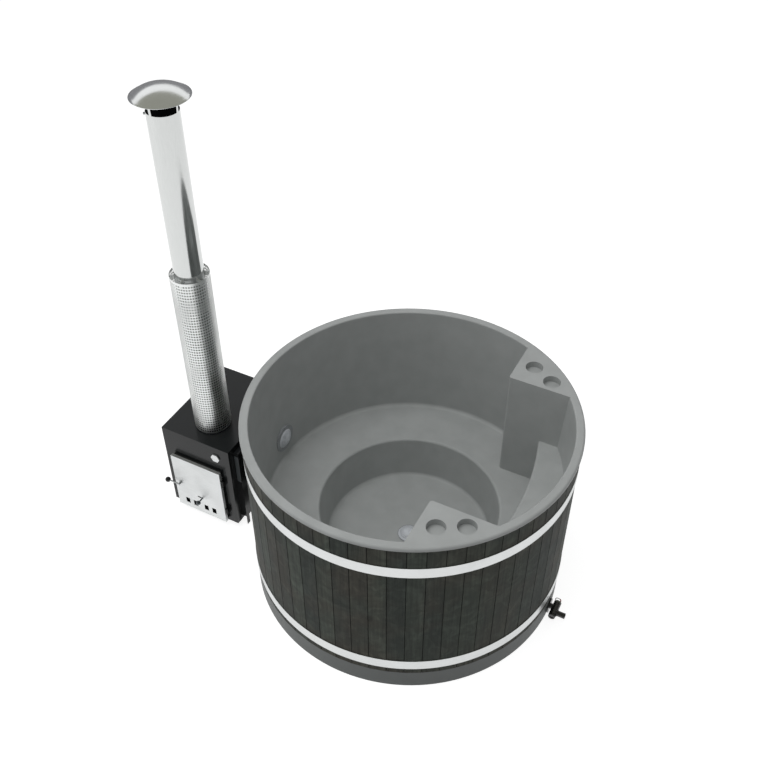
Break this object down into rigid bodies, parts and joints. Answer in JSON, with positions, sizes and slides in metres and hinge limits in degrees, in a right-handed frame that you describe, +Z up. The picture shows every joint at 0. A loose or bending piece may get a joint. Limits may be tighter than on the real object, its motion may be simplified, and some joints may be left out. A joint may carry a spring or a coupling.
{
  "type": "hot tub",
  "caption": "Round hot tub with a moulded bench liner, entry step and cup recesses, clad in dark boards with steel bands, beside a wood-fired heater with a guarded chimney",
  "frame": {"origin": "middle of the tub's base, on the ground", "axes": "+Z up, +X towards the entry step and the drain valve, -X towards the heater, -Y towards the heater's door"},
  "size_m": [2.2023, 1.6, 2.457],
  "materials": {
    "liner": "satin moulded grey plastic",
    "skirt": "matt grey plastic",
    "timber": "planed softwood, out of sight",
    "foam": "soft insulating foam",
    "boards": "dark grey stained softwood, slightly glossy",
    "band": "light stainless strip",
    "fastener": "plain stainless",
    "fitting": "grey moulded plastic",
    "gasket": "black rubber",
    "strainer": "light grey-blue plastic",
    "pipe": "dark grey plastic pipe",
    "hose": "black rubber hose",
    "valve": "black moulded plastic",
    "valve_core": "dark olive grey plastic",
    "wire": "bright steel wire",
    "heater_paint": "black stove enamel with a soft gloss",
    "fire_iron": "bare dark iron",
    "door_steel": "light brushed stainless sheet",
    "inner_steel": "dull steel sheet",
    "seal_rope": "woven heat seal",
    "black_ball": "black moulded ball",
    "knob_grey": "grey metal knob",
    "flue_steel": "bright stainless sheet",
    "mesh_black": "black wire mesh",
    "sleeve_red": "red plastic sleeve",
    "cover_grey": "grey painted sheet",
    "cap_steel": "brushed stainless sheet"
  },
  "bodies": {
    "tub": {"tub_liner": "liner", "base_pan": "skirt", "base_joists": "timber", "bench_posts": "timber", "bench_ring": "timber", "wall_insulation": "foam", "cladding_1": "boards", "cladding_2": "boards", "cladding_3": "boards", "upper_band": "band", "lower_band": "band", "band_bolts": "fastener", "band_nuts": "fastener", "return_flange": "fitting", "return_gasket": "gasket", "return_nut": "fitting", "return_strainer": "strainer", "drain_sump": "fitting", "sump_nut": "fitting", "drain_strainer": "strainer", "drain_pipe": "pipe", "supply_pipe": "pipe", "return_hose": "hose", "supply_hose": "hose", "hose_clamps": "fastener", "valve_flange": "valve", "valve_body": "valve", "valve_end_cap": "valve", "heater_casing": "heater_paint", "firebox": "fire_iron", "fire_grate": "fire_iron", "heater_feet": "heater_paint", "heat_shield": "heater_paint", "shield_cover": "cover_grey", "hex_plug": "door_steel", "hinge_brackets": "heater_paint", "hinge_pins": "inner_steel", "latch_keeper": "inner_steel", "flue_collar": "heater_paint", "lower_flue": "flue_steel", "upper_flue": "flue_steel", "heat_guard": "flue_steel", "guard_spacers": "flue_steel", "spark_guard": "mesh_black", "cap_straps": "flue_steel", "cap_screw": "fastener", "rain_cap": "cap_steel"},
    "door": {"door_panel": "door_steel", "door_liner": "inner_steel", "door_seal": "seal_rope", "door_knuckles": "heater_paint", "damper_guides": "inner_steel"},
    "latch": {"latch_handle": "fastener", "latch_ball": "black_ball"},
    "damper": {"damper_slide": "inner_steel", "damper_knob": "knob_grey"},
    "valve_core": {"valve_plug": "valve_core", "valve_knob": "valve_core", "valve_bail": "wire", "bail_sleeve": "sleeve_red"}
  },
  "joints": [
    {"name": "door_swing", "type": "hinge", "parent": "tub", "child": "door", "pos_m": [-0.947, -0.2925, 0.2385], "axis": [0, 0, 1], "range_deg": [0, 120]},
    {"name": "latch_turn", "type": "hinge", "parent": "door", "child": "latch", "pos_m": [-1.225, -0.295, 0.236], "axis": [0, -1, 0], "range_deg": [0, 90]},
    {"name": "damper_travel", "type": "slide", "parent": "door", "child": "damper", "axis": [-1, 0, 0], "range_m": [0, 0.025]},
    {"name": "valve_turn", "type": "hinge", "parent": "tub", "child": "valve_core", "pos_m": [0.8283, 0, 0.044], "axis": [0, 1, 0], "range_deg": [0, 90]}
  ]
}
